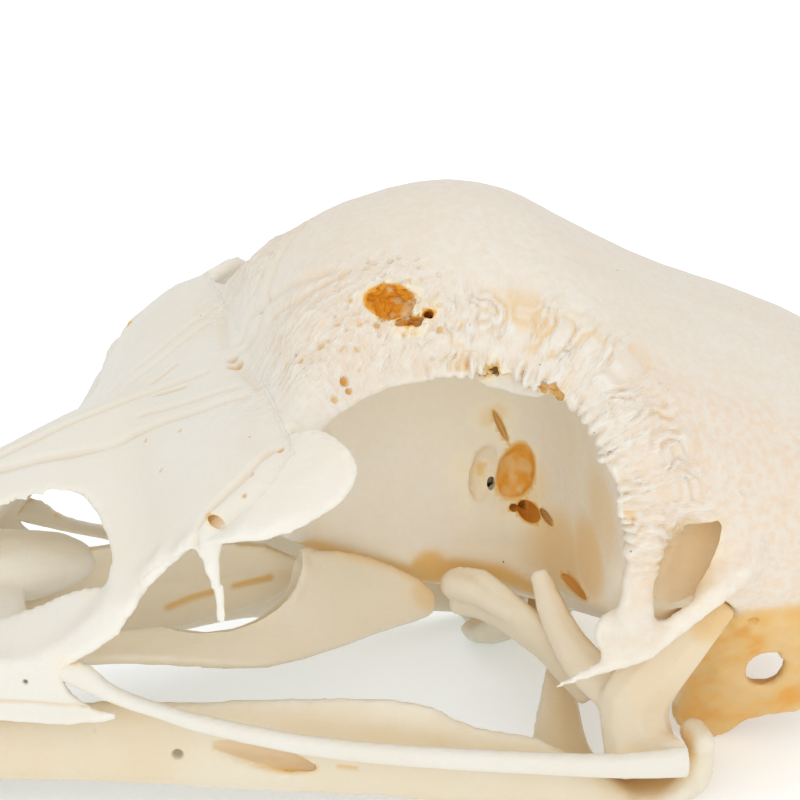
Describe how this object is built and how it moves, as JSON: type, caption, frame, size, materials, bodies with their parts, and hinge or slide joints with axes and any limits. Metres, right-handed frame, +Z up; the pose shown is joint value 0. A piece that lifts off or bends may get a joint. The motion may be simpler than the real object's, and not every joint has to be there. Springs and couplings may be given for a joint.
{
  "type": "turkey skull",
  "caption": "Dry turkey skull with its lower jaw in place: domed forehead, large open eye sockets, arched bill, thin cheek bars and loose palate and jaw-hinge bones.",
  "frame": {"origin": "on the floor the skull lies on, below the middle of its length and width", "axes": "-X towards the tip of the bill, -Y towards the skull's left side, +Z up"},
  "size_m": [0.1036, 0.0457, 0.0427],
  "materials": {
    "pinkish_bone": "dry bone, rough and pitted over the eyes",
    "ivory_bone": "dry bone, smooth with a faint sheen",
    "cream_bone": "dry bone, smooth, yellowed in the hollows",
    "tan_bone": "dry bone, smooth, tan"
  },
  "bodies": {
    "root": {"cranium": "pinkish_bone", "upper_bill": "ivory_bone", "mandible": "tan_bone", "lacrimal_left": "ivory_bone", "lacrimal_right": "ivory_bone", "jugal_left": "ivory_bone", "jugal_right": "ivory_bone", "palatine_left": "cream_bone", "palatine_right": "cream_bone", "pterygoid_left": "cream_bone", "pterygoid_right": "cream_bone", "quadrate_left": "cream_bone", "quadrate_right": "cream_bone"}
  },
  "joints": []
}
